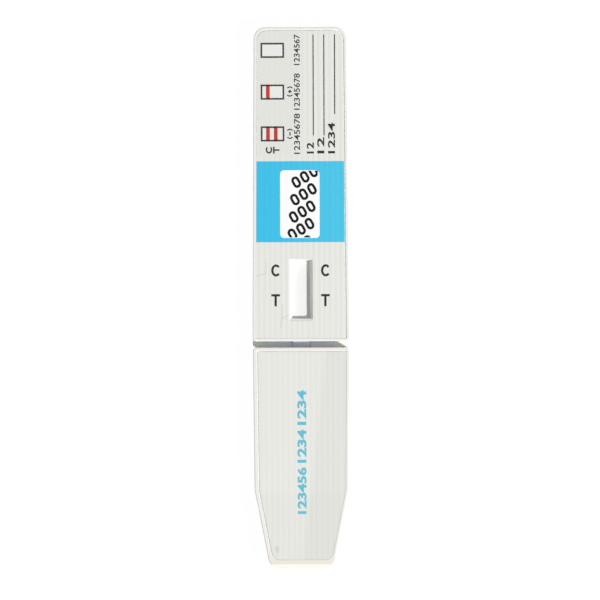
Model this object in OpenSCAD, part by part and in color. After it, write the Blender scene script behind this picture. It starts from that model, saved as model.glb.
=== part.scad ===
// Single-panel dip test card: a two-shell moulded handle that holds one test strip, and a
// moulded cap that slides over the strip's dip end. The card lies on its back. X runs across,
// Y runs along the card with the handle's top at +Y, and Z points out of the front face.

/* [Card body] */
// Length of the front cover, from the handle's top to its foot
body_len = 72.8; // [60:0.1:90]
// Width across the handle's foot
body_w = 22.6; // [18.6:0.1:27]
// How far each side comes in from the foot to the top
body_draw = 0.45; // [0:0.05:1]
// Thickness from the back face to the front face
thick = 4.6; // [3.9:0.05:5.6]
// Height of the parting plane between the two shells
split_z = 1.8; // [1.5:0.05:2.1]
// Wall of each shell at the parting plane
wall = 1; // [0.8:0.05:1.3]
// Thickness of the back shell's floor
floor_t = 1; // [0.7:0.05:1.2]
// Thickness of the front shell's plate
plate_t = 1.2; // [0.9:0.05:1.4]
// Radius of the two corners at the handle's top
top_corner_r = 2.8; // [2:0.1:5]
// Radius of the two corners at the handle's foot
foot_corner_r = 0.9; // [0.7:0.05:1.5]
// Rounding of the front edge, all the way round
front_edge_r = 0.25; // [0.15:0.05:0.9]
// Rounding of the back edge, all the way round
back_edge_r = 0.5; // [0.2:0.05:0.8]
// Bevel on both shells that draws the parting line
seam_bevel = 0.12; // [0.05:0.01:0.2]

/* [Shell joint] */
// Thickness of the front shell's register lip
lip_t = 0.6; // [0.4:0.05:0.8]
// Gap between the lip's edge and the back shell's floor
lip_floor_gap = 0.3; // [0.1:0.05:0.5]
// Diameter of the press pins
pin_d = 1.5; // [1:0.1:1.8]
// Diameter of the collar that each pin stands on
collar_d = 2.6; // [2:0.1:3.1]
// Height of that collar
collar_h = 0.5; // [0.2:0.05:0.8]
// Diameter of the sockets that take the pins
socket_d = 3.2; // [2.6:0.1:3.8]
// Floor left under the bore of each socket
socket_floor = 0.2; // [0.1:0.05:0.5]
// Gap between a pin's end and the bottom of its bore
pin_end_gap = 0.2; // [0.1:0.05:0.4]
// Room between the sockets and the register lip
pin_room = 0.55; // [0.2:0.05:1]
// Distance of the lowest pair of pins from the foot
pin_foot = 4.4; // [3.6:0.1:6]
// Distance of the highest pair of pins from the handle's top
pin_top = 6.4; // [5:0.1:9]
// Number of pairs of pins
pin_pairs = 4; // [2:1:5]
// Radial clearance of a pin in its socket
pin_gap = 0.03; // [0.02:0.01:0.06]
// Clearance between parts that sit inside one another
fit_gap = 0.1; // [0.06:0.01:0.12]

/* [Handle ribs] */
// Thickness of the cross ribs
rib_t = 0.8; // [0.5:0.05:1]
// Height of the cross ribs above the floor
rib_h = 1.2; // [0.6:0.1:1.4]
// Spacing of the cross ribs
rib_pitch = 7; // [5:0.5:10]
// Distance of the first cross rib beyond the test strip
rib_start = 3; // [1.5:0.1:6]
// Distance of the last cross rib from the register lip, at least
rib_end = 2; // [1:0.1:4]

/* [Groove and tongue] */
// Width of the groove between the front cover and the cap
groove_w = 1.4; // [1:0.1:2.5]
// Room between the tongue's sides and the cap's side walls, at the cap's mouth
tongue_room = 0.75; // [0.6:0.05:1.2]
// The same room at the tongue's tip
tongue_tip_room = 1.5; // [0.8:0.05:2.5]
// Distance of the tongue's tip from the cap's tip
tongue_end_room = 7.3; // [4:0.1:9]
// How far before the cap's shoulder the tongue starts to narrow
tongue_bend_lead = 1.6; // [1:0.1:4]
// Radius of the tongue's tip corners
tongue_tip_r = 2; // [1.2:0.1:3]
// Thickness of the guard wall round the tongue
guard_t = 0.9; // [0.6:0.05:1.2]
// How far inside the cap's mouth the guard wall starts
guard_setback = 1.2; // [0.5:0.1:3]
// Height of the ribs beside the strip on the tongue
channel_rib_h = 0.9; // [0.6:0.05:1.1]
// Thickness of the ribs beside the strip
channel_rib_t = 0.7; // [0.5:0.05:0.9]
// Width of the flow slots through the tongue
slot_w = 1.4; // [1:0.1:2]
// Length of the flow slots
slot_len = 5.2; // [3:0.1:6.2]
// Spacing of the flow slots along the tongue
slot_pitch = 8; // [6.5:0.5:9.5]
// Width of the notches in the guard wall's tip
notch_w = 1.5; // [1:0.1:1.8]
// How far each grip bump stands out of the guard wall
bump_h = 0.1; // [0.05:0.01:0.12]
// Radius of the grip bumps
bump_r = 0.6; // [0.4:0.05:0.8]

/* [Cap] */
// Length of the cap
cap_len = 51.3; // [42:0.1:60]
// How far each side of the cap's mouth stands in from the handle's foot
cap_step = 0.05; // [0:0.05:0.5]
// Distance of the shoulder, where the cap starts to narrow, from the mouth
cap_shoulder = 33.1; // [27:0.1:39]
// How far each side of the cap comes in from the mouth to the shoulder
cap_draw = 0.3; // [0:0.05:0.6]
// How far each side comes in from the shoulder to the tip
tip_draw = 3.6; // [2.5:0.1:4.5]
// Radius of the cap's two tip corners
tip_corner_r = 2.9; // [2.4:0.1:4.6]
// Length of the bevel on the front of the cap's tip
tip_bevel_l = 1.05; // [0.8:0.05:1.6]
// Height of that bevel
tip_bevel_h = 0.9; // [0.5:0.05:1.2]
// Radius of the cap's two mouth corners
mouth_corner_r = 0.9; // [0.7:0.05:1.5]
// Radius that softens the shoulder
shoulder_r = 6; // [3:0.5:8]
// Side wall of the cap
cap_side_wall = 1.2; // [0.9:0.05:1.4]
// Wall at the cap's tip
cap_tip_wall = 1.4; // [1.1:0.1:2]
// Front wall of the cap
cap_front_wall = 0.95; // [0.8:0.05:1.1]
// Back wall of the cap
cap_back_wall = 0.9; // [0.7:0.05:1.05]
// Length of each guide rib inside the cap
guide_len = 11; // [6:0.5:13]
// Distance of the first guide rib from the mouth
guide_start = 1.5; // [1:0.1:3]
// Distance between the starts of the guide ribs
guide_pitch = 17; // [14:0.5:20]
// Clearance between the tongue and the cap's guide ribs
slide_gap = 0.15; // [0.13:0.01:0.3]

/* [Labels] */
// Depth of the recesses that the labels lie in
recess_depth = 0.22; // [0.2:0.01:0.3]
// Thickness of the label film
film_t = 0.16; // [0.1:0.01:0.18]
// Thickness of one layer of print
ink_t = 0.02; // [0.02:0.005:0.035]
// Plastic margin between the card's sides and its label recess
card_margin = 0.75; // [0.6:0.05:1.2]
// Plastic margin at the front cover's foot and top
end_margin = 0.6; // [0.5:0.05:1.2]
// Plastic margin at the sides of the cap
cap_margin = 0.72; // [0.6:0.02:1.2]
// Plastic margin at the cap's mouth
mouth_margin = 0.75; // [0.7:0.05:1.5]
// Plastic margin at the cap's tip
tip_margin = 2.05; // [1.6:0.05:3]
// How far the cap's label recess sits to the right of the middle line
cap_label_shift = 0.1; // [-0.2:0.05:0.2]
// Gap between a label's edge and its recess, where the label is in the recess's middle
label_gap = 0.14; // [0.05:0.01:0.2]
// The gap that is left where a label was stuck down closer to one side of its recess
label_near_gap = 0.03; // [0.03:0.01:0.05]
// Radius of the card label's top corners
card_label_r = 2.5; // [1:0.1:3]
// Radius of the card label's foot corners
label_foot_r = 0.4; // [0.2:0.05:0.8]

/* [Window] */
// Width of the window in the front face
window_w = 5.2; // [4.4:0.1:6.2]
// Height of the window in the front face
window_h = 13.9; // [10:0.1:16.5]
// Distance of the window's centre from the foot
window_from_foot = 12.05; // [10.3:0.05:14.5]
// How far the window's lower rim laps over each edge of the strip
window_cover = 0.05; // [0.02:0.01:0.3]
// How far the short ends of the window slope inwards
window_slope_y = 0.4; // [0.3:0.05:1.1]
// Radius of the window's corners in the front face
window_r = 0.45; // [0.2:0.05:0.6]
// Depth of the membrane below the front face
window_depth = 1.5; // [1.3:0.05:1.75]
// Gap between the window's lower rim and the membrane
window_lift = 0.05; // [0.03:0.01:0.1]
// Wall round the window below the plate
funnel_wall = 0.7; // [0.5:0.05:0.9]

/* [Test strip] */
// Width of the strip
strip_w = 4; // [3.4:0.05:4.6]
// Thickness of the strip's backing card
backing_t = 0.25; // [0.2:0.01:0.3]
// Thickness of the membrane
membrane_t = 0.15; // [0.1:0.01:0.18]
// Length of the membrane
membrane_len = 25; // [21:0.5:29]
// Thickness of the conjugate pad
conjugate_t = 0.3; // [0.25:0.01:0.35]
// Length of the conjugate pad
conjugate_len = 9; // [7.5:0.5:12]
// Thickness of the sample pad
sample_t = 0.55; // [0.45:0.01:0.65]
// Thickness of the absorbent pad
absorbent_t = 0.7; // [0.5:0.01:0.82]
// Length of the absorbent pad, up to the strip's upper end
absorbent_len = 12.95; // [10.5:0.05:17]
// How far one pad laps over the next
lap = 2; // [1:0.1:2.4]
// Thickness of the cover tapes
tape_t = 0.08; // [0.05:0.01:0.1]
// Length of sample pad that the dip-end tape leaves bare
dip_bare = 14; // [8:0.5:20]
// Length over which that tape steps down to the conjugate pad
tape_step = 0.6; // [0.4:0.05:1]
// How deep the strip's channel is sunk into the tongue
channel_sink = 0.3; // [0.2:0.02:0.36]
// Height of the ribs under the plate that press the absorbent pad down
press_rib_h = 0.3; // [0.2:0.02:0.4]
// Spacing of those ribs
press_rib_pitch = 4; // [3:0.5:6]
// How far the strip's flat saddle runs past the window at each end
saddle_margin = 0.5; // [0.4:0.05:0.6]
// Clearance beside and beyond the strip
strip_gap = 0.1; // [0.05:0.01:0.15]
// Gap between the strip's dip end and the guard wall
strip_end_gap = 0.3; // [0.2:0.05:0.6]
// Width of the ledge that carries each edge of the strip
ledge_w = 0.6; // [0.4:0.05:1]
// Height of the guide lips above the strip's bed
guide_lip_h = 0.35; // [0.25:0.01:0.4]
// Spacing of the webs under the absorbent pad
web_pitch = 6; // [4:0.5:8]

/* [Print on the card label] */
// Distance of the blue band's lower edge from the foot
band_from_foot = 22.95; // [20:0.05:27]
// Height of the blue band
band_h = 18.75; // [16:0.05:22]
// Width of the white panel on the band
panel_w = 9.15; // [7.5:0.05:11]
// Height of the white panel
panel_h = 16.2; // [13:0.05:18.5]
// Radius of the white panel's corners
panel_r = 0.9; // [0.3:0.05:2]
// How far the white panel sits to the left of the middle line
panel_shift = 0.25; // [0:0.05:0.5]
// Plain edge of the panel that the marks stay clear of
panel_edge = 0.4; // [0.2:0.05:0.8]
// Height of one ring mark on the panel
mark_h = 2.7; // [2.2:0.05:3.2]
// Width of one ring mark
mark_w = 1.85; // [1.4:0.05:2.1]
// Stroke of the ring marks
mark_stroke = 0.58; // [0.4:0.02:0.6]
// Spacing of the marks along a row
mark_pitch = 2.3; // [1.8:0.05:2.6]
// Vertical spacing of the rows of marks
mark_row_pitch = 3.88; // [3.4:0.02:5]
// How far each row stands to the right of the one below it
mark_row_step = 0.3; // [0:0.05:0.5]
// Slope of the rows of marks, in degrees
mark_tilt = 31; // [0:1:45]
// Distance of the marks' middle column to the right of the panel's middle
mark_shift = 0.7; // [0:0.05:1]
// Width of a result box
box_w = 5.45; // [4.4:0.05:6]
// Height of a result box
box_h = 3.5; // [3:0.05:4.3]
// Line width of the result boxes
box_line = 0.4; // [0.2:0.05:0.6]
// Distance of the result boxes from the handle's side at its top
box_inset = 1.62; // [1.2:0.02:2.4]
// Distance of the lowest box's middle above the band
box_low = 6.35; // [5:0.05:7.5]
// Distance of the highest box's middle below the label's top edge
box_high = 4.55; // [3.5:0.05:6]
// Width of a red result line
result_w = 0.85; // [0.5:0.05:1]
// Distance of the first red line to the left of its box's middle
result_first = 1.06; // [0.8:0.02:1.2]
// Spacing of two red lines in one box
result_pitch = 1.8; // [1.4:0.02:2]
// Line width of the ruled entry lines
rule_w = 0.22; // [0.2:0.02:0.5]
// Distance of the last ruled line from the handle's side at its top
rule_inset = 2.95; // [2:0.05:3.4]
// Spacing of the ruled lines
rule_pitch = 2.48; // [2:0.02:2.9]
// Distances of the ruled lines' lower ends above the band
rule_starts = [5.95, 5.95, 10.95]; // [4:0.05:13]
// Distance of their upper ends below the label's top edge
rule_end = 0.9; // [0.5:0.05:2]

/* [Hidden] */

// Places along the card, with the middle of the capped card at Y = 0
total_len = body_len + groove_w + cap_len;
top_y = total_len / 2;
foot_y = top_y - body_len;
mouth_y = foot_y - groove_w;
shoulder_y = mouth_y - cap_shoulder;
tip_y = mouth_y - cap_len;
tongue_tip_y = tip_y + tongue_end_room;
tongue_bend_y = shoulder_y + tongue_bend_lead;
window_y = foot_y + window_from_foot;

// Half widths of the tapered handle and cap at a place along the card
function body_half(y) = body_w / 2 - body_draw * (y - foot_y) / body_len;
function cap_half(y) = body_w / 2 - cap_step - (y > shoulder_y
    ? cap_draw * (mouth_y - y) / cap_shoulder
    : cap_draw + tip_slope * (shoulder_y - y));
tip_slope = tip_draw / (cap_len - cap_shoulder);
tongue_half = cap_half(mouth_y) - cap_side_wall - tongue_room;
tongue_tip_half = cap_half(tongue_tip_y) - cap_side_wall - tongue_tip_room;

// Heights through the card
plate_z = thick - plate_t;
socket_top = plate_z - collar_h;
cavity_z = cap_back_wall;
cavity_top = thick - cap_front_wall;
tongue_z = cavity_z + fit_gap;
guard_top = cavity_top - fit_gap;
film_z = thick - recess_depth;
print_z = film_z + film_t;
membrane_z = thick - window_depth;
funnel_z = membrane_z + window_lift;
bed_tongue = split_z - channel_sink;
bed_window = membrane_z - membrane_t - backing_t;
bed_absorbent = plate_z - press_rib_h - tape_t - absorbent_t - backing_t;

// How far in from the outline the front shell's inside starts, and what stands clear of it
inner_inset = wall + fit_gap + lip_t;
clear_inset = inner_inset + fit_gap;
corridor_half = strip_w / 2 + strip_gap;

// Where each layer of the strip starts and ends
strip_y0 = tongue_tip_y + guard_t + strip_end_gap;
membrane_y0 = window_y - membrane_len / 2;
membrane_y1 = window_y + membrane_len / 2;
conjugate_y1 = membrane_y0 + lap;
conjugate_y0 = conjugate_y1 - conjugate_len;
sample_y1 = conjugate_y0 + lap;
absorbent_y0 = membrane_y1 - lap;
strip_y1 = absorbent_y0 + absorbent_len;

// The strip rises from the tongue to its saddle under the window and drops to the absorbent pad
bed_knots = [[foot_y, bed_tongue],
             [window_y - window_h / 2 - saddle_margin, bed_window],
             [window_y + window_h / 2 + saddle_margin, bed_window],
             [absorbent_y0 - saddle_margin, bed_absorbent]];
function bed_z(y) = lookup(y, bed_knots);

// How far each label lies from the middle of its recess, across the card and along it
label_push = label_gap - label_near_gap;

// The label's print hangs between the handle's foot and the label's top edge
band_y = foot_y + band_from_foot;
band_top = band_y + band_h;
panel_y = band_y + band_h / 2;
label_top = top_y - end_margin - label_gap - label_push;
box_x = box_inset + box_w / 2 - body_half(top_y);
boxes_y = [for (i = [0 : 2]) lerp(band_top + box_low, label_top - box_high, i / 2)];
function lerp(a, b, t) = a + (b - a) * t;

least_r = 0.3;
arc_fn = 48;
over = 0.01;
past = 1;

// The colours of the moulded plastic, the film and the print
shell_white = [0.97, 0.97, 0.95];
film_grey = [0.9, 0.905, 0.885];
ink_black = [0.1, 0.1, 0.11];
ink_blue = [0.26, 0.77, 0.92];
ink_red = [0.8, 0.22, 0.2];

// A profile with a rounded edge above and below, turned about a corner's centre
module corner_post(r, z0, z1, r_low, r_high, steps = 6) {
    low = [for (i = [0 : steps]) let (a = 90 * i / steps)
        [r - r_low + r_low * sin(a), z0 + r_low - r_low * cos(a)]];
    high = [for (i = [0 : steps]) let (a = 90 * i / steps)
        [r - r_high + r_high * cos(a), z1 - r_high + r_high * sin(a)]];
    rotate_extrude($fn = arc_fn)
        polygon(concat([[0, z0]], low, high, [[0, z1]]));
}

// Corner centres of the handle, with its foot at a given place: X, Y, then radius
function body_corners(end_y, inset, foot_r) =
    let (rt = max(top_corner_r - inset, least_r), rf = max(foot_r - inset, least_r))
    [for (s = [-1, 1]) [s * (body_half(top_y) - inset - rt), top_y - inset - rt, rt],
     for (s = [-1, 1]) [s * (body_half(end_y) - inset - rf), end_y + inset + rf, rf]];

// Corner centres of the cap, set in by its own margin at the sides, the mouth and the tip
function cap_corners(side, mouth, tip) =
    let (rm = max(mouth_corner_r - side, least_r), rs = shoulder_r,
         rt = max(tip_corner_r - side, least_r),
         lean = sqrt(1 + tip_slope * tip_slope) - tip_slope)
    [for (s = [-1, 1]) [s * (cap_half(mouth_y) - side - rm), mouth_y - mouth - rm, rm],
     for (s = [-1, 1]) [s * (cap_half(shoulder_y) - side - rs), shoulder_y + rs * tip_slope / 2, rs],
     for (s = [-1, 1]) [s * (cap_half(tip_y + tip) - side - rt * lean), tip_y + tip + rt, rt]];

// A flat outline through rounded corners
module outline(corners) {
    hull()
        for (c = corners)
            translate([c[0], c[1]])
                circle(r = c[2], $fn = arc_fn);
}

// A moulded slab through rounded corners, with soft edges
module slab(corners, z0, z1, r_low, r_high) {
    hull()
        for (c = corners)
            translate([c[0], c[1], 0])
                corner_post(c[2], z0, z1, min(r_low, c[2]), min(r_high, c[2]));
}

module prism(z0, z1) {
    translate([0, 0, z0])
        linear_extrude(height = z1 - z0)
            children();
}

// A block between two corners
module block(low, high) {
    translate(low)
        cube(high - low);
}

// A side profile, given as Y and Z, drawn out across the card
module across(half, x = 0) {
    translate([x - half, 0, 0])
        rotate([90, 0, 90])
            linear_extrude(height = 2 * half)
                children();
}

// Places between y0 and y1 where the strip's bed bends, with both ends
function bends(y0, y1) = concat([y0],
    [for (k = bed_knots) if (k[0] > y0 + over && k[0] < y1 - over) k[0]], [y1]);

// One band of the strip's section, from lift to lift + t above the bed
module strip_band(y0, y1, lift, t) {
    ys = bends(y0, y1);
    n = len(ys);
    polygon(concat([for (y = ys) [y, bed_z(y) + lift]],
                   [for (i = [n - 1 : -1 : 0]) [ys[i], bed_z(ys[i]) + lift + t]]));
}

// Everything from a floor up to a height above the bed
module bed_fill(y0, y1, z0, lift) {
    ys = bends(y0, y1);
    n = len(ys);
    polygon(concat([[y0, z0], [y1, z0]],
                   [for (i = [n - 1 : -1 : 0]) [ys[i], bed_z(ys[i]) + lift]]));
}

module tongue_outline(inset) {
    r = max(tongue_tip_r - inset, least_r);
    half = tongue_half - inset;
    hull() {
        for (s = [-1, 1])
            translate([s * (tongue_tip_half - inset - r), tongue_tip_y + inset + r])
                circle(r = r, $fn = arc_fn);
        polygon([[-half, foot_y], [-half, tongue_bend_y], [half, tongue_bend_y], [half, foot_y]]);
    }
}

// The tray of the handle, whose floor runs on past the front cover as the groove's floor
module tray() {
    difference() {
        slab(body_corners(mouth_y, 0, foot_corner_r), 0, split_z, back_edge_r, seam_bevel);
        prism(floor_t, split_z + over)
            outline(body_corners(foot_y, wall, foot_corner_r));
    }
}

module handle_ribs() {
    for (y = [strip_y1 + rib_start : rib_pitch : top_y - clear_inset - rib_end])
        block([-body_half(y) + clear_inset, y, floor_t - over],
              [body_half(y) - clear_inset, y + rib_t, floor_t + rib_h]);
}

// Stands its children at each press pin
module at_pins() {
    pin_x = body_half(top_y) - inner_inset - pin_room - socket_d / 2;
    for (i = [0 : pin_pairs - 1], s = [-1, 1])
        translate([s * pin_x, lerp(foot_y + pin_foot, top_y - pin_top, i / (pin_pairs - 1)), floor_t])
            children();
}

module sockets() {
    at_pins()
        translate([0, 0, -over])
            cylinder(d = socket_d, h = socket_top - floor_t + over, $fn = arc_fn);
}

module socket_bores() {
    at_pins()
        translate([0, 0, socket_floor])
            cylinder(d = pin_d + 2 * pin_gap, h = socket_top, $fn = arc_fn);
}

module press_pins() {
    pin_z = socket_floor + pin_end_gap;
    at_pins() {
        translate([0, 0, pin_z])
            cylinder(d = pin_d, h = plate_z - floor_t - pin_z + over, $fn = arc_fn);
        translate([0, 0, socket_top - floor_t])
            cylinder(d = collar_d, h = collar_h + over, $fn = arc_fn);
    }
}

// Two rails that carry the strip's edges inside the handle, and webs that tie them
module strip_rails() {
    rail_half = (ledge_w + strip_gap + channel_rib_t) / 2;
    rail_x = strip_w / 2 - ledge_w + rail_half;
    end_y = strip_y1 + strip_gap;
    for (s = [-1, 1])
        across(rail_half, s * rail_x)
            bed_fill(foot_y + clear_inset, end_y + channel_rib_t, floor_t - over, guide_lip_h);
    across(rail_x)
        bed_fill(end_y, end_y + channel_rib_t, floor_t - over, guide_lip_h);
    for (y = [absorbent_y0 : web_pitch : strip_y1 - web_pitch / 2])
        block([-rail_x, y, floor_t - over], [rail_x, y + rib_t, bed_absorbent]);
}

// The tongue's floor, its guard wall and the ribs beside the strip
module tongue() {
    guard_y = mouth_y - guard_setback;
    prism(tongue_z, split_z)
        tongue_outline(0);
    difference() {
        prism(split_z - over, guard_top)
            difference() {
                tongue_outline(0);
                tongue_outline(guard_t);
            }
        block([-body_w, guard_y, split_z], [body_w, foot_y + past, thick]);
    }
    for (s = [-1, 1]) {
        across(channel_rib_t / 2, s * (corridor_half + channel_rib_t / 2))
            polygon([[strip_y0, split_z - over], [guard_y, split_z - over],
                     [guard_y - channel_rib_h, split_z + channel_rib_h],
                     [strip_y0, split_z + channel_rib_h]]);
        grip_bump(s);
    }
}

// A low bump on the guard wall that the cap's first guide rib rides over
module grip_bump(side) {
    translate([side * (tongue_half - bump_r + bump_h), mouth_y - guide_start - guide_len / 2, tongue_z])
        cylinder(r = bump_r, h = guard_top - tongue_z, $fn = arc_fn);
}

// Three slots on each side of the strip, and three notches in the guard wall's tip
module flow_slots() {
    slot_x = (corridor_half + channel_rib_t + tongue_half - guard_t) / 2;
    notch_step = tongue_tip_half - tongue_tip_r - notch_w / 2;
    for (i = [0 : 2], s = [-1, 1])
        translate([s * slot_x, tongue_bend_y + i * slot_pitch, tongue_z - over]) {
            block([-slot_w / 2, -slot_len / 2 + slot_w / 2, 0],
                  [slot_w / 2, slot_len / 2 - slot_w / 2, thick]);
            for (e = [-1, 1])
                translate([0, e * (slot_len - slot_w) / 2, 0])
                    cylinder(d = slot_w, h = thick, $fn = arc_fn);
        }
    for (i = [-1 : 1])
        block([i * notch_step - notch_w / 2, tongue_tip_y - past, split_z],
              [i * notch_step + notch_w / 2, tongue_tip_y + guard_t + over, thick]);
}

module back_cover() {
    color(shell_white)
        difference() {
            union() {
                tray();
                tongue();
                sockets();
                handle_ribs();
                strip_rails();
            }
            across(corridor_half)
                strip_band(strip_y0 - strip_gap, strip_y1 + strip_gap, 0, thick);
            socket_bores();
            flow_slots();
        }
}

module corner_dots(w, h, r) {
    for (x = [-1, 1], y = [-1, 1])
        translate([x * (w / 2 - r), y * (h / 2 - r)])
            circle(r = r, $fn = arc_fn);
}

module rounded(w, h, r) {
    hull()
        corner_dots(w, h, r);
}

// The tapered opening over the membrane
window_low_w = strip_w - 2 * window_cover;
module window_funnel() {
    hull() {
        translate([0, window_y, thick])
            linear_extrude(height = past)
                corner_dots(window_w, window_h, window_r);
        translate([0, window_y, funnel_z - over])
            linear_extrude(height = over)
                corner_dots(window_low_w, window_h - 2 * window_slope_y, window_r / 2);
    }
}

module front_cover() {
    funnel_half = window_low_w / 2 + funnel_wall;
    color(shell_white)
        difference() {
            union() {
                difference() {
                    slab(body_corners(foot_y, 0, foot_corner_r), split_z, thick,
                         seam_bevel, front_edge_r);
                    prism(split_z - past, plate_z)
                        outline(body_corners(foot_y, inner_inset, foot_corner_r));
                }
                register_lip();
                press_pins();
                block([-funnel_half, window_y - window_h / 2, funnel_z],
                      [funnel_half, window_y + window_h / 2, plate_z + over]);
                pressure_ribs();
            }
            window_funnel();
            prism(film_z, thick + past)
                card_label_outline(0);
            across(corridor_half)
                strip_band(foot_y - past, foot_y + inner_inset + past, 0,
                           backing_t + conjugate_t + tape_t + fit_gap);
        }
}

// A lip along the sides and top that steps down inside the back shell's wall
module register_lip() {
    difference() {
        prism(floor_t + lip_floor_gap, split_z + over)
            difference() {
                outline(body_corners(foot_y, wall + fit_gap, foot_corner_r));
                outline(body_corners(foot_y, inner_inset, foot_corner_r));
            }
        block([-body_w, foot_y - past, 0], [body_w, foot_y + inner_inset + past, thick]);
    }
}

// Ribs under the plate that press the absorbent pad's tape down
module pressure_ribs() {
    for (y = [absorbent_y0 + press_rib_pitch / 2 : press_rib_pitch : strip_y1 - press_rib_pitch / 2])
        block([-strip_w / 2, y, plate_z - press_rib_h], [strip_w / 2, y + rib_t, plate_z + over]);
}

module cap() {
    color(shell_white)
        difference() {
            slab(cap_corners(0, 0, 0), 0, thick, back_edge_r, front_edge_r);
            difference() {
                prism(cavity_z, cavity_top)
                    outline(concat(cap_corners(cap_side_wall, 0, cap_tip_wall),
                                   mouth_corners()));
                guide_ribs();
            }
            prism(film_z, thick + past)
                cap_label_outline(0);
            tip_bevel();
        }
}

// Two corners outside the mouth, so that the cavity runs out of it at full width
function mouth_corners() = [for (s = [-1, 1])
    [s * (cap_half(mouth_y) - cap_side_wall - least_r), mouth_y + past, least_r]];

// The flat bevel across the front of the cap's tip, run on past both its ends
module tip_bevel() {
    across(body_w)
        polygon([for (t = [-1, 2]) [tip_y + t * tip_bevel_l, thick + (t - 1) * tip_bevel_h],
                 [tip_y - tip_bevel_l, thick + tip_bevel_h]]);
}

module guide_ribs() {
    inner = tongue_half + slide_gap;
    for (i = [0, 1], s = [-1, 1])
        translate([0, mouth_y - guide_start - i * guide_pitch - guide_len, 0])
            block([s > 0 ? inner : -body_w, 0, cavity_z - over],
                  [s > 0 ? body_w : -inner, guide_len, cavity_top + over]);
}

// The card label's outline, or its recess where the gap is 0
module card_label_outline(gap) {
    side = card_margin + gap;
    high_y = top_y - end_margin - gap;
    low_y = foot_y + end_margin + gap;
    outline([for (s = [-1, 1])
                [s * (body_half(high_y) - side - card_label_r), high_y - card_label_r, card_label_r],
             for (s = [-1, 1])
                [s * (body_half(low_y) - side - label_foot_r), low_y + label_foot_r, label_foot_r]]);
}

// The cap label's outline, which follows the cap, or its recess where the gap is 0
module cap_label_outline(gap) {
    translate([cap_label_shift, 0])
        outline(cap_corners(cap_margin + abs(cap_label_shift) + gap, mouth_margin + gap,
                            tip_margin + gap));
}

// The card's label was stuck down to the left and low in its recess, with its hole for the window
module card_label() {
    color(film_grey)
        prism(film_z, print_z)
            translate([-label_push, -label_push])
                difference() {
                    card_label_outline(label_gap);
                    translate([0, window_y])
                        rounded(window_w + 2 * label_gap, window_h + 2 * label_gap, window_r);
                }
}

// The cap's label was stuck down to the right and low in its recess
module cap_label() {
    color(film_grey)
        prism(film_z, print_z)
            translate([label_push, -label_push])
                cap_label_outline(label_gap);
}

module strip_backing() {
    color("white")
        across(strip_w / 2)
            strip_band(strip_y0, strip_y1, 0, backing_t);
}

module membrane() {
    color([0.97, 0.97, 0.95])
        across(strip_w / 2)
            strip_band(membrane_y0, membrane_y1, backing_t, membrane_t);
}

module conjugate_pad() {
    color([0.93, 0.82, 0.82])
        across(strip_w / 2)
            difference() {
                strip_band(conjugate_y0, conjugate_y1, backing_t, conjugate_t);
                strip_band(membrane_y0, membrane_y1, backing_t, membrane_t);
            }
}

module sample_pad() {
    color([0.96, 0.95, 0.91])
        across(strip_w / 2)
            difference() {
                strip_band(strip_y0, sample_y1, backing_t, sample_t);
                strip_band(conjugate_y0, conjugate_y1, backing_t, conjugate_t);
            }
}

module absorbent_pad() {
    color([0.95, 0.95, 0.92])
        across(strip_w / 2)
            difference() {
                strip_band(absorbent_y0, strip_y1, backing_t, absorbent_t);
                strip_band(membrane_y0, membrane_y1, backing_t, membrane_t);
            }
}

// The tape runs over the sample pad, steps down to the conjugate pad and ends on it
module dip_end_tape() {
    low = backing_t + conjugate_t;
    high = backing_t + sample_t;
    path = concat([[strip_y0 + dip_bare, high], [sample_y1, high]],
                  [for (y = bends(sample_y1 + tape_step, conjugate_y1)) [y, low]]);
    n = len(path);
    color([0.83, 0.88, 0.95])
        across(strip_w / 2)
            polygon(concat([for (p = path) [p[0], bed_z(p[0]) + p[1]]],
                           [for (i = [n - 1 : -1 : 0]) let (p = path[i])
                               [p[0], bed_z(p[0]) + p[1] + tape_t]]));
}

module absorbent_tape() {
    color([0.9, 0.93, 0.95])
        across(strip_w / 2)
            strip_band(absorbent_y0, strip_y1, backing_t + absorbent_t, tape_t);
}

module label_print_blue() {
    color(ink_blue)
        prism(print_z, print_z + ink_t)
            intersection() {
                translate([-label_push, -label_push])
                    card_label_outline(label_gap);
                translate([-body_w, band_y])
                    square([2 * body_w, band_h]);
            }
}

module box_field() {
    square([box_w - 2 * box_line, box_h - 2 * box_line], center = true);
}

// The panel lies on the blue band, and the fields of the result boxes on the film
module label_print_white() {
    color("white") {
        prism(print_z + ink_t, print_z + 2 * ink_t)
            translate([-panel_shift, panel_y])
                rounded(panel_w, panel_h, panel_r);
        for (y = boxes_y)
            translate([box_x, y])
                prism(print_z, print_z + ink_t)
                    box_field();
    }
}

module ring_mark() {
    difference() {
        stadium(mark_w, mark_h);
        stadium(mark_w - 2 * mark_stroke, mark_h - 2 * mark_stroke);
    }
}

module stadium(w, h) {
    square([w, h - w], center = true);
    for (e = [-1, 1])
        translate([0, e * (h - w) / 2])
            circle(d = w, $fn = arc_fn);
}

// Four sloping rows of three marks and the start of a fifth, cut off at the panel's plain edge
module panel_marks() {
    prism(print_z + 2 * ink_t, print_z + 3 * ink_t)
        translate([-panel_shift, panel_y])
            intersection() {
                square([panel_w - 2 * panel_edge, panel_h - 2 * panel_edge], center = true);
                for (row = [-2.5 : 1.5])
                    translate([mark_shift + row * mark_row_step, row * mark_row_pitch])
                        rotate(mark_tilt)
                            for (i = [-1 : 1])
                                translate([i * mark_pitch, 0])
                                    ring_mark();
            }
}

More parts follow.
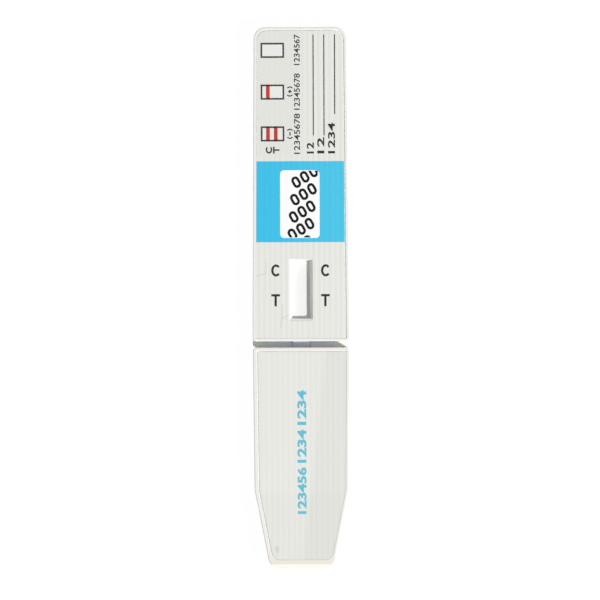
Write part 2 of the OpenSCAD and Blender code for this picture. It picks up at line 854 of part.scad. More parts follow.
module label_print_black() {
    color(ink_black) {
        for (y = boxes_y)
            translate([box_x, y])
                prism(print_z, print_z + ink_t)
                    difference() {
                        square([box_w, box_h], center = true);
                        box_field();
                    }
        for (i = [0 : 2]) {
            x = body_half(top_y) - rule_inset - (2 - i) * rule_pitch;
            block([x - rule_w / 2, band_top + rule_starts[i], print_z],
                  [x + rule_w / 2, label_top - rule_end, print_z + ink_t]);
        }
        panel_marks();
    }
}

// One line in the middle box and two in the lowest box, which run on over the frame's black lines
module label_print_red() {
    color(ink_red)
        for (place = [[1, 0], [0, 0], [0, 1]])
            translate([box_x - result_first + place[1] * result_pitch, boxes_y[place[0]],
                       print_z + 1.5 * ink_t])
                cube([result_w, box_h, ink_t], center = true);
}

back_cover();
front_cover();
cap();
card_label();
cap_label();
strip_backing();
membrane();
conjugate_pad();
sample_pad();
absorbent_pad();
dip_end_tape();
absorbent_tape();
label_print_blue();
label_print_white();
label_print_black();
label_print_red();
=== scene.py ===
"""Looks for the dip test card: its materials, the printed figures and marks, light, floor and camera."""
import math

import bmesh
import bpy
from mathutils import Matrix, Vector


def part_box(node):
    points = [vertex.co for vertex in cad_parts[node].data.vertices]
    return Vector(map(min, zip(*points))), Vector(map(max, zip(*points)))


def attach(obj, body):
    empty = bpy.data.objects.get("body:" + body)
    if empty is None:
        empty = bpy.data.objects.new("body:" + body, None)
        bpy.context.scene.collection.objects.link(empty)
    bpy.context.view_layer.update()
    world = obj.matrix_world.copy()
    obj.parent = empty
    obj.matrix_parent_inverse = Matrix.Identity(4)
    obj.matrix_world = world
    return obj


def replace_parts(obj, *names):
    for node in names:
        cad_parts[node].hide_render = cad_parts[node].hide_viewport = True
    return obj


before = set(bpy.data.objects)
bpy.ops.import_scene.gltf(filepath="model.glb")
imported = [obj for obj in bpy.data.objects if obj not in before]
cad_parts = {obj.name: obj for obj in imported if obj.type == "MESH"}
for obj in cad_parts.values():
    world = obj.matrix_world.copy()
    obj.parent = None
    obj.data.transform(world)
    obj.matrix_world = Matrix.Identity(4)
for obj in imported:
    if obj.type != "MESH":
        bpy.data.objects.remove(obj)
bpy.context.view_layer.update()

MM = 0.001

# The photograph's framing: its width in the plane of the labels, the point at its centre, and its roll
PHOTO_WIDTH = 138.96 * MM
PHOTO_CENTRE = (-0.29 * MM, -0.49 * MM)
PHOTO_ROLL = math.radians(-0.2)
CAMERA_DISTANCE = 1.0
SENSOR_WIDTH = 36
CLIP_START, CLIP_END = 0.05, 50

# The key light's direction and its apparent size, and how much light falls on a level surface
KEY_AZIMUTH = math.radians(-31)
KEY_ELEVATION = math.radians(42)
KEY_DISTANCE = 2.5
KEY_SIZE = math.radians(6)
KEY_ON_LEVEL = 0.71
FILL_LIGHT = 0.3

# The floor is a round sheet with a coved edge far out from the object, a hair below the card's back.
# Then the sides of its outline and the steps of its cove
FLOOR_RADIUS = 6
COVE_RADIUS = 1
FLOOR_GAP = 0.02 * MM
FLOOR_GLOW = 0.96
FLOOR_PAINT = 0.08
FLOOR_SIDES, COVE_STEPS = 96, 8

# The height of the labels, and the thickness of one layer of the print on them
LABEL_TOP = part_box("card_label")[1].z
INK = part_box("label_print_blue")[1].z - LABEL_TOP


# Materials

class Shader:
    """A material around one Principled shader, with its nodes in short calls."""

    def __init__(self, name, roughness, specular=0.5, **sockets):
        self.material = bpy.data.materials.new(name)
        self.material.use_nodes = True
        self.tree = self.material.node_tree
        self.surface = self.tree.nodes["Principled BSDF"]
        self.set("Roughness", roughness)
        self.set("Specular IOR Level", specular)
        for socket, value in sockets.items():
            self.set(socket.replace("_", " "), value)
        place = self.add("ShaderNodeTexCoord").outputs["Object"]
        self.place = self.vector("MULTIPLY", place, (1 / MM,) * 3)

    def set(self, socket, value):
        self.put(self.surface.inputs[socket], value)

    def put(self, socket, value):
        """Links a value that is another node's output, and otherwise sets it."""
        if isinstance(value, bpy.types.NodeSocket):
            self.tree.links.new(value, socket)
        else:
            socket.default_value = value

    def add(self, kind, *values, **settings):
        node = self.tree.nodes.new(kind)
        for setting, value in settings.items():
            setattr(node, setting, value)
        for socket, value in zip(node.inputs, values):
            self.put(socket, value)
        return node

    def vector(self, operation, *values):
        node = self.add("ShaderNodeVectorMath", *values, operation=operation)
        return node.outputs["Value" if operation in ("LENGTH", "DOT_PRODUCT") else "Vector"]

    def math(self, operation, *values, clamp=False):
        return self.add("ShaderNodeMath", *values, operation=operation, use_clamp=clamp).outputs[0]

    def stretch(self, low, high, value, smooth=False):
        """A value from 0 at low to 1 at high."""
        kind = "SMOOTHSTEP" if smooth else "LINEAR"
        return self.add("ShaderNodeMapRange", value, low, high, interpolation_type=kind).outputs[0]

    def axis(self, name):
        """The place along one axis in millimetres."""
        return self.add("ShaderNodeSeparateXYZ", self.place).outputs[name]

    def grain(self, sizes, detail=2):
        """Noise whose features have these sizes along X, Y and Z in millimetres."""
        node = self.add("ShaderNodeTexNoise")
        self.put(node.inputs["Vector"], self.vector("MULTIPLY", self.place, [1 / s for s in sizes]))
        self.put(node.inputs["Scale"], 1)
        self.put(node.inputs["Detail"], detail)
        return node.outputs["Fac"]

    def blend(self, amount, a, b):
        """Colour a where the amount is 0 and colour b where it is 1."""
        node = self.add("ShaderNodeMix", data_type="RGBA")
        self.put(node.inputs["Factor"], amount)
        self.put(node.inputs[6], colour(a))
        self.put(node.inputs[7], colour(b))
        return node.outputs[2]

    def bump(self, height, depth):
        """Relief whose full height is this depth in millimetres."""
        node = self.add("ShaderNodeBump")
        self.put(node.inputs["Distance"], depth * MM)
        self.put(node.inputs["Height"], height)
        self.set("Normal", node.outputs["Normal"])


def colour(value):
    return value if isinstance(value, bpy.types.NodeSocket) else (*value, 1)


def shade(base, factor):
    return tuple(min(c * factor, 1) for c in base)


def ribbed(shader, ribs, tone, strength, level=1):
    """The tone times the level, darker in the film's valleys and lighter on its ribs by the strength."""
    return shader.blend(ribs, shade(tone, level - strength), shade(tone, level + strength))


# The range of noise that is spread out, where no other is named
NOISE_RANGE = (0.3, 0.7)

# The even ribs of each label's film: their pitch and the place of one valley. Then the fainter streaks
CARD_RIBS, CAP_RIBS = (1.262, -8.53), (1.29, -8.26)
STREAK_SIZES = (0.42, 70, 40)
STREAK_SHARE = 0.35
RIB_DEPTH = 0.008

# Round the result boxes the film is smoother: from where to where this sets in, and how much
SMOOTH_X, SMOOTH_Y = (1.0, -2.5), (31, 34)
SMOOTHED = 0.75


def film_ribs(shader, ribs):
    """The film's fine ribs along the card, from 0 to 1: even ones, and streaks between them."""
    pitch, valley = ribs
    turn = shader.math("MULTIPLY_ADD", shader.axis("X"), 2 * math.pi / pitch, -2 * math.pi * valley / pitch)
    even = shader.math("COSINE", turn)
    streaks = shader.stretch(*NOISE_RANGE, shader.grain(STREAK_SIZES, detail=3))
    swing = shader.math("MULTIPLY_ADD", streaks, STREAK_SHARE, -STREAK_SHARE / 2)
    swing = shader.math("MULTIPLY_ADD", even, (STREAK_SHARE - 1) / 2, swing)
    kept = shader.math("MULTIPLY_ADD", round_boxes(shader), -SMOOTHED, 1)
    return shader.math("MULTIPLY_ADD", swing, kept, 0.5, clamp=True)


def round_boxes(shader):
    """1 on the part of the card's label that carries the result boxes."""
    sides = shader.stretch(*SMOOTH_X, shader.axis("X"), smooth=True)
    return shader.math("MULTIPLY", sides, shader.stretch(*SMOOTH_Y, shader.axis("Y"), smooth=True))


def line_mask(shader, start, end, width):
    """1 on the line between two points on the label, falling to 0 at its width's edges."""
    flat = shader.vector("MULTIPLY", shader.place, (1, 1, 0))
    start, run = Vector((*start, 0)), Vector((*end, 0)) - Vector((*start, 0))
    offset = shader.vector("SUBTRACT", flat, start)
    along = shader.vector("DOT_PRODUCT", offset, run / run.length_squared)
    along = shader.math("ADD", along, 0, clamp=True)
    nearest = shader.add("ShaderNodeVectorMath", run, operation="SCALE")
    shader.put(nearest.inputs["Scale"], along)
    gap = shader.vector("LENGTH", shader.vector("SUBTRACT", offset, nearest.outputs["Vector"]))
    return shader.stretch(width, 0, gap, smooth=True)


def spot_mask(shader, centre, radii):
    """1 in the middle of an oval spot on the label, falling to 0 at its edge."""
    flat = shader.vector("SUBTRACT", shader.place, (*centre, 0))
    scaled = shader.vector("MULTIPLY", flat, (1 / radii[0], 1 / radii[1], 0))
    return shader.stretch(1, 0, shader.vector("LENGTH", scaled), smooth=True)


# Two creases in the card's label, as lines between two points in millimetres, with their width, how
# much painted shade shows in them and how far they sink, as a share of the ribs' depth
CREASES = [((-10.3, 5.1), (-8.3, 5.65)), ((-8.3, 5.65), (-8.15, 8.1)),
           ((-3.1, -4.1), (-4.47, -4.75)), ((-4.45, -1.5), (-4.47, -4.75)), ((-4.47, -4.75), (-4.85, -6.9))]
CREASE_WIDTH = 0.25
CREASE_SHADE = 0.3
CREASE_SINK = 0.8

# Dirt on the cap's label: each spot's centre, radii and strength, and the size and range of its mottle
DIRT = [((-5.8, -58.2), (0.75, 1.4), 0.45), ((-6.3, -59.7), (0.7, 0.7), 0.12)]
MOTTLE_SIZES, MOTTLE_RANGE = (0.3, 0.3, 0.3), (0.25, 0.75)
# The tone of the dirt, which also serves as the painted shade in the creases
DIRT_AND_SHADE_TONE = (0.45, 0.46, 0.44)


# Where the film is darker: by how much in all, its share round the boxes, and on the cap, as painted
# shade, the share at the right of a slanting line, then that at the tip
DARKENED = 0.92
DARKER_BOXES, SHADE_SIDE, SHADE_TIP = 0.3, 0.7, 0.35
SHADE_SLANT, SHADE_SIDE_FROM, SHADE_TIP_FROM = (1, -0.105, 0), (5.8, 7.8), (-44, -47)


def darker_boxes(shader):
    return shader.math("MULTIPLY", round_boxes(shader), DARKER_BOXES)


# Painted shade: the cap's label darker at the right of a slanting line and towards its tip
def painted_tip_shade(shader):
    slanted = shader.vector("DOT_PRODUCT", shader.place, SHADE_SLANT)
    side = shader.stretch(*SHADE_SIDE_FROM, slanted, smooth=True)
    tip = shader.stretch(*SHADE_TIP_FROM, shader.axis("Y"), smooth=True)
    return shader.math("MULTIPLY_ADD", tip, SHADE_TIP, shader.math("MULTIPLY", side, SHADE_SIDE), clamp=True)


def film(name, tone, ribs, strength, darkening, creases=(), dirt=()):
    """Label film, which is darker where the turn called darkening goes to 1, as painted shade on the cap."""
    shader = Shader(name, roughness=0.42, specular=0.35)
    relief = film_ribs(shader, ribs)
    paint = ribbed(shader, relief, tone, strength)
    darkened = ribbed(shader, relief, tone, strength, level=DARKENED)
    paint = shader.blend(darkening(shader), paint, darkened)
    # Painted shade along each crease, whose relief also sinks
    for start, end in creases:
        mask = line_mask(shader, start, end, CREASE_WIDTH)
        paint = shader.blend(shader.math("MULTIPLY", mask, CREASE_SHADE), paint, DIRT_AND_SHADE_TONE)
        relief = shader.math("MULTIPLY_ADD", mask, -CREASE_SINK, relief)
    for centre, radii, depth in dirt:
        # The mottle is about a half on average, so twice the strength keeps the mean
        cloud = shader.stretch(*MOTTLE_RANGE, shader.grain(MOTTLE_SIZES))
        mask = shader.math("MULTIPLY", spot_mask(shader, centre, radii), cloud)
        paint = shader.blend(shader.math("MULTIPLY", mask, 2 * depth), paint, DIRT_AND_SHADE_TONE)
    shader.set("Base Color", paint)
    shader.bump(relief, RIB_DEPTH)
    return shader.material


def ink(name, tone, *changes, strength=0.03):
    """Ink that shows the film's ribs. A change is a further tone and the turn that goes to 1 where it is."""
    shader = Shader(name, roughness=0.4, specular=0.35)
    ribs = film_ribs(shader, CARD_RIBS)
    paint = ribbed(shader, ribs, tone, strength)
    for far_tone, turn in changes:
        far = ribbed(shader, ribs, far_tone, strength)
        paint = shader.blend(turn(shader), paint, far)
    shader.set("Base Color", paint)
    shader.bump(ribs, RIB_DEPTH)
    return shader.material


def along(axis, low, high):
    """A turn from 0 to 1 between two places on an axis."""
    return lambda shader: shader.stretch(low, high, shader.axis(axis), smooth=True)


# The height and the line width of a result box. Then, each with how far the change of tone there
# reaches: the place below which the print is the panel's, and the tongue's top and its half width
# inside its guard, which bound the painted blue-grey shade on the tongue
BOX_HEIGHT, BOX_LINE = 3.5, 0.4
PANEL_PART, PANEL_FADE = 32, 0.5
TONGUE_TOP, TONGUE_TOP_FADE = -10.05, 0.1
TONGUE_HALF, TONGUE_SIDE_FADE = 8.1, 0.5


def on_frames(shader):
    """1 where a red line runs over the black frame of its result box."""
    low, high = (end.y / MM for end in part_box("label_print_red"))
    pitch = high - low - BOX_HEIGHT
    from_middle = shader.math("SUBTRACT", shader.axis("Y"), low + BOX_HEIGHT / 2)
    offset = shader.math("PINGPONG", from_middle, pitch / 2)
    return shader.math("GREATER_THAN", offset, BOX_HEIGHT / 2 - BOX_LINE)


def painted_tongue_shade(shader):
    """1 on the card's tongue, apart from its sides: where a painted blue-grey tint stands for the shade at
    the cap's mouth.
    """
    below = shader.stretch(TONGUE_TOP + TONGUE_TOP_FADE, TONGUE_TOP, shader.axis("Y"))
    from_middle = shader.math("ABSOLUTE", shader.axis("X"))
    inside = shader.stretch(TONGUE_HALF + TONGUE_SIDE_FADE, TONGUE_HALF - TONGUE_SIDE_FADE, from_middle)
    return shader.math("MULTIPLY", below, inside)


# Painted light on the rounded edges and in the gaps beside the labels, where they lie in shade: how far
# out at the sides and at the top it begins, and how far below the rim's top it begins and ends
EDGE_X, EDGE_Y = (9.6, 9.9), (62.2, 62.4)
EDGE_START, EDGE_END = (0.005, 0.04), (0.6, 0.4)
RIM_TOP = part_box("front_cover")[1].z / MM


def painted_edge_light(shader):
    """1 on the rounded edges at the sides and the top, and in the gaps beside the labels: where painted light
    makes them pale.
    """
    sides = shader.stretch(*EDGE_X, shader.math("ABSOLUTE", shader.axis("X")))
    outside = shader.math("MAXIMUM", sides, shader.stretch(*EDGE_Y, shader.axis("Y")))
    below = shader.math("SUBTRACT", RIM_TOP, shader.axis("Z"))
    edge = shader.math("MULTIPLY", shader.stretch(*EDGE_START, below), shader.stretch(*EDGE_END, below))
    return shader.math("MULTIPLY", outside, edge)


# The moulded plastic's clouds, and its fine grain: its sizes, depth and the roughness it swings between
CLOUD_SIZES = (9, 14, 6)
GRAIN_SIZES, GRAIN_DEPTH = (0.16, 0.16, 0.16), 0.006
GRAIN_ROUGHNESS = (0.36, 0.46)


def moulded_plastic(name, tone, warm_tone, *changes):
    """Satin white plastic with its mould's fine grain.

    A change is a further tone and the turn that goes to 1 where it is.
    """
    shader = Shader(name, roughness=0.4, specular=0.45)
    clouds = shader.stretch(*NOISE_RANGE, shader.grain(CLOUD_SIZES))
    paint = shader.blend(clouds, tone, warm_tone)
    for far_tone, turn in changes:
        paint = shader.blend(turn(shader), paint, far_tone)
    shader.set("Base Color", paint)
    fine = shader.grain(GRAIN_SIZES, detail=4)
    rough = shader.add("ShaderNodeMapRange", fine, *NOISE_RANGE, *GRAIN_ROUGHNESS).outputs[0]
    shader.set("Roughness", rough)
    shader.bump(fine, GRAIN_DEPTH)
    return shader.material


# How much of a pad's texture its strands make, and the range of it that is spread out
STRAND_SHARE = 0.6
FIBRE_RANGE = (0.35, 0.65)


def fibre(name, tone, deep_tone, size, depth):
    """A pad of matted fibres, or a membrane where the size is small."""
    shader = Shader(name, roughness=0.9, specular=0.2)
    strands = shader.grain((size, 3 * size, size), detail=5)
    clumps = shader.grain((5 * size, 5 * size, 5 * size))
    rest = shader.math("MULTIPLY", clumps, 1 - STRAND_SHARE)
    mixed = shader.math("MULTIPLY_ADD", strands, STRAND_SHARE, rest)
    level = shader.stretch(*FIBRE_RANGE, mixed)
    shader.set("Base Color", shader.blend(level, deep_tone, tone))
    shader.bump(strands, depth)
    return shader.material


# The depth of the relief on tape and vinyl, which are almost smooth
SMOOTH_DEPTH = 0.004


def clear_tape(name, tone):
    """Glossy film with faint drawn lines along it."""
    shader = Shader(name, roughness=0.18, Coat_Weight=0.3, Coat_Roughness=0.1)
    lines = shader.grain((0.25, 12, 0.25), detail=3)
    shader.set("Base Color", shader.blend(shader.stretch(*NOISE_RANGE, lines), shade(tone, 0.94), tone))
    shader.bump(lines, SMOOTH_DEPTH)
    return shader.material


def vinyl(name, tone):
    """The strip's smooth backing card, with a faint orange-peel surface."""
    shader = Shader(name, roughness=0.22)
    peel = shader.grain((0.6, 0.6, 0.6))
    shader.set("Base Color", shader.blend(shader.stretch(*NOISE_RANGE, peel), shade(tone, 0.97), tone))
    shader.bump(peel, SMOOTH_DEPTH)
    return shader.material


# The card's plastic has a painted blue-grey shade on its tongue, the cap's turns to cream at its tip,
# and painted light makes the edges of both pale
CARD_PLASTIC = moulded_plastic("moulded_card", (0.855, 0.865, 0.83), (0.85, 0.85, 0.81),
                               ((0.83, 0.865, 0.89), painted_tongue_shade), ((0.99, 0.99, 0.92), painted_edge_light))
CAP_PLASTIC = moulded_plastic("moulded_cap", (0.865, 0.85, 0.815), (0.86, 0.835, 0.79),
                              ((0.92, 0.91, 0.88), painted_edge_light), ((0.82, 0.79, 0.72), along("Y", -59.5, -61)))
LABEL_TONE = (0.795, 0.8, 0.76)
CARD_FILM = film("card_film", LABEL_TONE, CARD_RIBS, 0.045, darker_boxes, creases=CREASES)
CAP_FILM = film("cap_film", LABEL_TONE, CAP_RIBS, 0.025, painted_tip_shade, dirt=DIRT)
BLACK = ink("black_ink", (0.028, 0.03, 0.026), strength=0.1)
LEGEND_BLACK = ink("legend_ink", (0.06, 0.062, 0.056), strength=0.1)
PRINT_BLACK = ink("print_ink", (0.026, 0.028, 0.024), ((0.06, 0.062, 0.056), round_boxes),
                  ((0.004, 0.004, 0.005), along("Y", PANEL_PART + PANEL_FADE, PANEL_PART)), strength=0.1)
RED = ink("red_ink", (0.52, 0.05, 0.035), ((0.09, 0.006, 0.006), on_frames))
BLUE = ink("blue_ink", (0.047, 0.53, 0.82), ((0.07, 0.56, 0.81), along("X", -10, 10)))
TITLE_BLUE = ink("title_ink", (0.14, 0.52, 0.66))
WHITE = ink("white_ink", (0.975, 0.975, 0.985),
            ((0.83, 0.83, 0.82), along("Y", PANEL_PART, PANEL_PART + PANEL_FADE)), strength=0.01)

NODE_MATERIALS = {
    "back_cover": CARD_PLASTIC,
    "front_cover": CARD_PLASTIC,
    "cap": CAP_PLASTIC,
    "card_label": CARD_FILM,
    "cap_label": CAP_FILM,
    "strip_backing": vinyl("backing_vinyl", (0.86, 0.87, 0.88)),
    "membrane": fibre("membrane_white", (0.87, 0.875, 0.86), (0.85, 0.855, 0.84), 0.05, 0.004),
    "conjugate_pad": fibre("conjugate_pink", (0.82, 0.6, 0.62), (0.72, 0.46, 0.5), 0.14, 0.03),
    "sample_pad": fibre("sample_cellulose", (0.87, 0.85, 0.79), (0.8, 0.77, 0.7), 0.16, 0.04),
    "absorbent_pad": fibre("absorbent_cellulose", (0.88, 0.87, 0.82), (0.81, 0.79, 0.73), 0.2, 0.05),
    "dip_end_tape": clear_tape("dip_tape_blue", (0.74, 0.79, 0.86)),
    "absorbent_tape": clear_tape("absorbent_tape_clear", (0.76, 0.8, 0.83)),
    "label_print_blue": BLUE,
    "label_print_white": WHITE,
    "label_print_black": PRINT_BLACK,
    "label_print_red": RED,
}


def dress_nodes():
    for name, material in NODE_MATERIALS.items():
        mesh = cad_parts[name].data
        mesh.materials.clear()
        mesh.materials.append(material)


# Print on the labels: figures and marks, as thin solids on the film

def solid(name, build, material, body):
    """Makes a piece of a bmesh, which rides on a body."""
    bmesh.ops.recalc_face_normals(build, faces=build.faces)
    mesh = bpy.data.meshes.new(name)
    build.to_mesh(mesh)
    build.free()
    mesh.materials.append(material)
    piece = bpy.data.objects.new(name, mesh)
    bpy.context.scene.collection.objects.link(piece)
    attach(piece, body)
    return piece


def raise_outline(build, outline):
    """Adds the thin solid of ink under one closed outline, given in millimetres."""
    top, low = ([build.verts.new((x * MM, y * MM, z)) for x, y in outline]
                for z in (LABEL_TOP + INK, LABEL_TOP))
    build.faces.new(top)
    build.faces.new(low[::-1])
    for i in range(len(outline)):
        build.faces.new((top[i - 1], low[i - 1], low[i], top[i]))


def stroke(points, width):
    """The outline of a line of this width along the points."""
    points = [Vector(p) for p in points]
    sides = ([], [])
    for i, point in enumerate(points):
        run = points[min(i + 1, len(points) - 1)] - points[max(i - 1, 0)]
        out = run.orthogonal().normalized() * width / 2
        sides[0].append(tuple(point + out))
        sides[1].append(tuple(point - out))
    return sides[0] + sides[1][::-1]


def arc(centre, radii, start, end, steps=24):
    """Points on an ellipse between two angles in degrees."""
    angles = [math.radians(start + (end - start) * i / steps) for i in range(steps + 1)]
    return [(centre[0] + radii[0] * math.cos(a), centre[1] + radii[1] * math.sin(a)) for a in angles]


def turned(outline):
    """The outline turned to read up the card."""
    return [(-y, x) for x, y in outline]


def moved(outline, place):
    return [(x + place[0], y + place[1]) for x, y in outline]


# In degrees: half of a C's opening, and half of the arc that a round bracket is
C_OPENING = 40
BRACKET_REACH = 55


def letter_c(width, height, line):
    """A C whose ends stop short of closing, so that its arc is wider than the letter."""
    reach = math.cos(math.radians(C_OPENING))
    radii = ((width - line) / (1 + reach), (height - line) / 2)
    middle = ((width - line) / 2 - radii[0] * reach, 0)
    return stroke(arc(middle, radii, C_OPENING, 360 - C_OPENING), line)


def letter_t(width, height, line):
    half, bar, stem = width / 2, height / 2 - line, line / 2
    return [(-half, height / 2), (-half, bar), (-stem, bar), (-stem, -height / 2),
            (stem, -height / 2), (stem, bar), (half, bar), (half, height / 2)]


def bracket(out, height, line, side):
    """A round bracket, which bulges this far out to the side that is -1 or 1."""
    start = 180 - BRACKET_REACH if side < 0 else -BRACKET_REACH
    radii = (height / 2 / math.sin(math.radians(BRACKET_REACH)),) * 2
    middle = (side * out - side * radii[0], 0)
    return stroke(arc(middle, radii, start, start + 2 * BRACKET_REACH, steps=12), line)


def plus(size, line):
    a, b = size / 2, line / 2
    return [(b, a), (-b, a), (-b, b), (-a, b), (-a, -b), (-b, -b),
            (-b, -a), (b, -a), (b, -b), (a, -b), (a, b), (b, b)]


# The panel's top and foot, which lie a little lower than on the solid, its plain edge at both, and how
# close together points count as one
PANEL_TOP, PANEL_FOOT = 29.57, 13.88
PANEL_CLEAR = 0.12
MELD = 0.0001


def print_copy(node):
    """A copy of a printed node, and the points of what is the panel or lies on it."""
    build = bmesh.new()
    build.from_mesh(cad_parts[node].data)
    panel = [v for v in build.verts if v.co.y < PANEL_PART * MM]
    return build, panel


def white_print():
    build, panel = print_copy("label_print_white")
    low, high = (pick(v.co.y for v in panel) for pick in (min, max))
    for vert in panel:
        vert.co.y += PANEL_TOP * MM - high if vert.co.y > (low + high) / 2 else PANEL_FOOT * MM - low
    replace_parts(solid("white_print", build, WHITE, "card"), "label_print_white")


def black_print():
    """The boxes, the lines and the panel's marks, which reach down to the panel's foot and end at its top."""
    build, panel = print_copy("label_print_black")
    low, high = (pick(v.co.y for v in panel) for pick in (min, max))
    drop = low - (PANEL_FOOT + PANEL_CLEAR) * MM
    for vert in panel:
        vert.co.y -= drop * (high - vert.co.y) / (high - low)
    edges = {edge for vert in panel for edge in vert.link_edges}
    faces = {face for vert in panel for face in vert.link_faces}
    top = (PANEL_TOP - PANEL_CLEAR) * MM
    bmesh.ops.bisect_plane(build, geom=[*panel, *edges, *faces], plane_no=(0, 1, 0),
                           plane_co=(0, top, 0), clear_outer=True)
    rim = [v for v in build.verts if abs(v.co.y - top) < MELD * MM]
    bmesh.ops.remove_doubles(build, verts=rim, dist=MELD * MM)
    rim = {v for v in rim if v.is_valid}
    bmesh.ops.edgeloop_fill(build, edges=[e for e in build.edges if rim.issuperset(e.verts)])
    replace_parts(solid("black_print", build, PRINT_BLACK, "card"), "label_print_black")


# Marks beside the window, and the same two turned beside the lowest result box. Then the signs beside
# the two lower captions. A mark has its width, height and line, and a bracket how far out it bulges,
# its height and its line
LINE_MARK = (2.0, 2.82, 0.52)
WINDOW_MARKS_X = (-5.92, 5.6)
CONTROL_Y, TEST_Y = 6.36, -0.54
BOX_MARK = (1.6, 1.5, 0.34)
BOX_CONTROL, BOX_TEST = (-7.35, 34.25), (-5.65, 34.25)
SIGN_X = -2.47
POSITIVE_Y, NEGATIVE_Y = 47.8, 38.0
BRACKET = (1.05, 1.15, 0.26)
SIGN_SIZE, SIGN_LINE = 0.8, 0.28


def line_marks():
    build = bmesh.new()
    for x in WINDOW_MARKS_X:
        raise_outline(build, moved(letter_c(*LINE_MARK), (x, CONTROL_Y)))
        raise_outline(build, moved(letter_t(*LINE_MARK), (x, TEST_Y)))
    raise_outline(build, moved(turned(letter_c(*BOX_MARK)), BOX_CONTROL))
    raise_outline(build, moved(turned(letter_t(*BOX_MARK)), BOX_TEST))
    solid("line_marks", build, BLACK, "card")


def sign_marks():
    dash = [(-SIGN_SIZE / 2, -SIGN_LINE / 2), (SIGN_SIZE / 2, -SIGN_LINE / 2),
            (SIGN_SIZE / 2, SIGN_LINE / 2), (-SIGN_SIZE / 2, SIGN_LINE / 2)]
    build = bmesh.new()
    for y, sign in ((POSITIVE_Y, plus(SIGN_SIZE, SIGN_LINE)), (NEGATIVE_Y, dash)):
        for outline in (sign, bracket(*BRACKET, -1), bracket(*BRACKET, 1)):
            raise_outline(build, moved(turned(outline), (SIGN_X, y)))
    solid("sign_marks", build, BLACK, "card")


# In units of the text's size: how close together a figure's points count as one, and half of the
# thickness it is made with. Then the steps of each of its curves
TEXT_MELD = 0.0001
TEXT_EXTRUDE = 0.1
TEXT_STEPS = 5


def figures(name, rows, weight, material, body):
    """Rows of plain figures that read up the card: each has its text, middle X, two ends and height."""
    build = bmesh.new()
    for text, x, low_y, high_y, height in rows:
        for vert in add_text(build, text, weight):
            u, v, w = vert.co
            y = low_y + u * (high_y - low_y)
            vert.co = ((x - (v - 0.5) * height) * MM, y * MM, LABEL_TOP + w * INK)
    solid(name, build, material, body)


def close_counters(mesh):
    """Draws a figure's counter together where thick strokes have turned it inside out."""
    build = bmesh.new()
    build.from_mesh(mesh)
    bmesh.ops.remove_doubles(build, verts=build.verts, dist=TEXT_MELD)
    bmesh.ops.collapse(build, edges=[e for e in build.edges if len(e.link_faces) != 2])
    build.to_mesh(mesh)
    build.free()
    mesh.shade_flat()


def add_text(build, text, weight):
    """Adds text set in Blender's own typeface, scaled to fill the unit cube, and returns its points.

    The weight thickens its strokes.
    """
    curve = bpy.data.curves.new("text", "FONT")
    curve.body = text
    curve.offset = weight
    curve.extrude = TEXT_EXTRUDE
    curve.resolution_u = TEXT_STEPS
    source = bpy.data.objects.new("text", curve)
    bpy.context.scene.collection.objects.link(source)
    bpy.context.view_layer.update()
    mesh = bpy.data.meshes.new_from_object(source.evaluated_get(bpy.context.evaluated_depsgraph_get()))
    bpy.data.objects.remove(source)
    bpy.data.curves.remove(curve)
    close_counters(mesh)
    before = len(build.verts)
    build.from_mesh(mesh)
    bpy.data.meshes.remove(mesh)
    build.verts.ensure_lookup_table()
    added = build.verts[before:]
    low, high = (Vector([pick(v.co[i] for v in added) for i in range(3)]) for pick in (min, max))
    for vert in added:
        vert.co = [(vert.co[i] - low[i]) / (high[i] - low[i]) for i in range(3)]
    return added


# The figures beside the result boxes, before the entry lines and on the cap: where they stand, their
# height and weight, then each row's text with its ends, or with its X and far end
LEGEND_X, LEGEND_HEIGHT, LEGEND_WEIGHT = -0.84, 1.39, 0.015
LEGEND_ROWS = [("12345678", 33.33, 42.7), ("12345678", 43.56, 51.99), ("1234567", 53.92, 61.05)]
ENTRY_LOW, ENTRY_HEIGHT, ENTRY_WEIGHT = 33.44, 1.62, 0.02
ENTRY_ROWS = [("12", 2.23, 35.99), ("12", 4.64, 37.17), ("1234", 7.14, 40.57)]
TITLE_X, TITLE_HEIGHT, TITLE_WEIGHT = 0.05, 2.1, 0.034
TITLE_ROWS = [("123456", -50.05, -39.25), ("1234", -38.2, -30.5), ("1234", -29.45, -21.35)]


def print_figures():
    legend = [(text, LEGEND_X, low, high, LEGEND_HEIGHT) for text, low, high in LEGEND_ROWS]
    entries = [(text, x, ENTRY_LOW, high, ENTRY_HEIGHT) for text, x, high in ENTRY_ROWS]
    title = [(text, TITLE_X, low, high, TITLE_HEIGHT) for text, low, high in TITLE_ROWS]
    figures("legend_figures", legend, LEGEND_WEIGHT, LEGEND_BLACK, "card")
    figures("entry_figures", entries, ENTRY_WEIGHT, BLACK, "card")
    figures("title_figures", title, TITLE_WEIGHT, TITLE_BLUE, "cap")


# Stage: floor, light and camera

def floor():
    """A round floor that turns up into a low wall at its edge."""
    profile = []
    for i in range(COVE_STEPS + 1):
        turn = math.radians(90 * i / COVE_STEPS)
        profile.append((FLOOR_RADIUS - COVE_RADIUS + COVE_RADIUS * math.sin(turn),
                        COVE_RADIUS * (1 - math.cos(turn)) - FLOOR_GAP))
    build = bmesh.new()
    turns = [2 * math.pi * i / FLOOR_SIDES for i in range(FLOOR_SIDES)]
    rings = [[build.verts.new((r * math.cos(t), r * math.sin(t), z)) for t in turns] for r, z in profile]
    build.faces.new(rings[0])
    for inner, outer in zip(rings, rings[1:]):
        for i in range(FLOOR_SIDES):
            build.faces.new((inner[i - 1], outer[i - 1], outer[i], inner[i]))
    mesh = bpy.data.meshes.new("floor")
    build.to_mesh(mesh)
    build.free()
    mesh.shade_smooth()
    mesh.materials.append(floor_paint())
    sheet = bpy.data.objects.new("floor", mesh)
    bpy.context.scene.collection.objects.link(sheet)


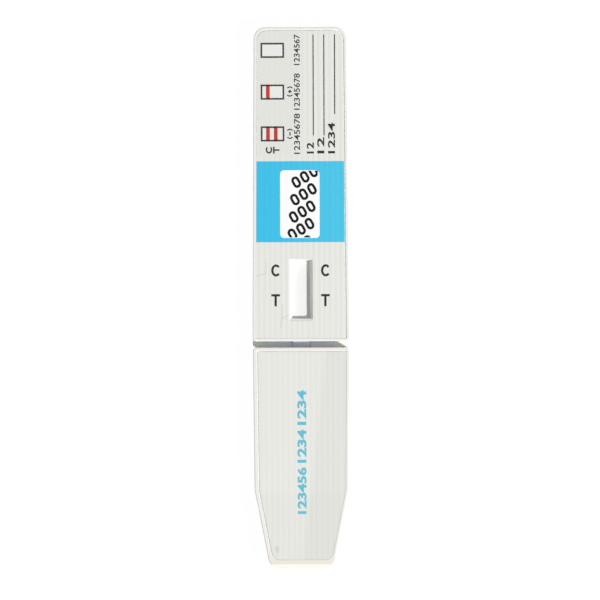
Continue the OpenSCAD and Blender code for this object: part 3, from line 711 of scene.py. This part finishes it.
def floor_paint():
    """Pale paint that also glows, as a lit table does, so that shadows on it stay faint."""
    material = bpy.data.materials.new("floor_paint")
    material.use_nodes = True
    surface = material.node_tree.nodes["Principled BSDF"]
    surface.inputs["Base Color"].default_value = (FLOOR_PAINT,) * 3 + (1,)
    surface.inputs["Roughness"].default_value = 0.9
    surface.inputs["Specular IOR Level"].default_value = 0
    surface.inputs["Emission Color"].default_value = (1, 1, 1, 1)
    surface.inputs["Emission Strength"].default_value = FLOOR_GLOW
    return material


def lights():
    """One round key light at the right, and an even fill from all round."""
    flat = math.cos(KEY_ELEVATION)
    direction = Vector((flat * math.cos(KEY_AZIMUTH), flat * math.sin(KEY_AZIMUTH), math.sin(KEY_ELEVATION)))
    facing = KEY_ON_LEVEL * math.pi / math.sin(KEY_ELEVATION)
    lamp = bpy.data.lights.new("key", "AREA")
    lamp.shape = "DISK"
    lamp.size = 2 * KEY_DISTANCE * math.tan(KEY_SIZE / 2)
    lamp.energy = facing * math.pi * KEY_DISTANCE ** 2
    lamp.color = (1, 0.995, 0.985)
    key = bpy.data.objects.new("key", lamp)
    key.location = direction * KEY_DISTANCE
    key.rotation_euler = direction.to_track_quat("Z", "Y").to_euler()
    key.visible_camera = False
    bpy.context.scene.collection.objects.link(key)
    world = bpy.data.worlds.new("fill")
    world.use_nodes = True
    background = world.node_tree.nodes["Background"]
    background.inputs["Color"].default_value = (0.98, 0.99, 1, 1)
    background.inputs["Strength"].default_value = FILL_LIGHT
    bpy.context.scene.world = world


def camera():
    """Straight above the card, far enough away for a nearly parallel view."""
    lens = bpy.data.cameras.new("camera")
    lens.sensor_width = SENSOR_WIDTH
    lens.lens = SENSOR_WIDTH * CAMERA_DISTANCE / PHOTO_WIDTH
    lens.clip_start = CLIP_START
    lens.clip_end = CLIP_END
    eye = bpy.data.objects.new("camera", lens)
    eye.location = (*PHOTO_CENTRE, LABEL_TOP + CAMERA_DISTANCE)
    eye.rotation_euler = (0, 0, PHOTO_ROLL)
    bpy.context.scene.collection.objects.link(eye)
    bpy.context.scene.camera = eye
    bpy.context.scene.view_settings.view_transform = "Standard"


dress_nodes()
white_print()
black_print()
line_marks()
sign_marks()
print_figures()
floor()
lights()
camera()
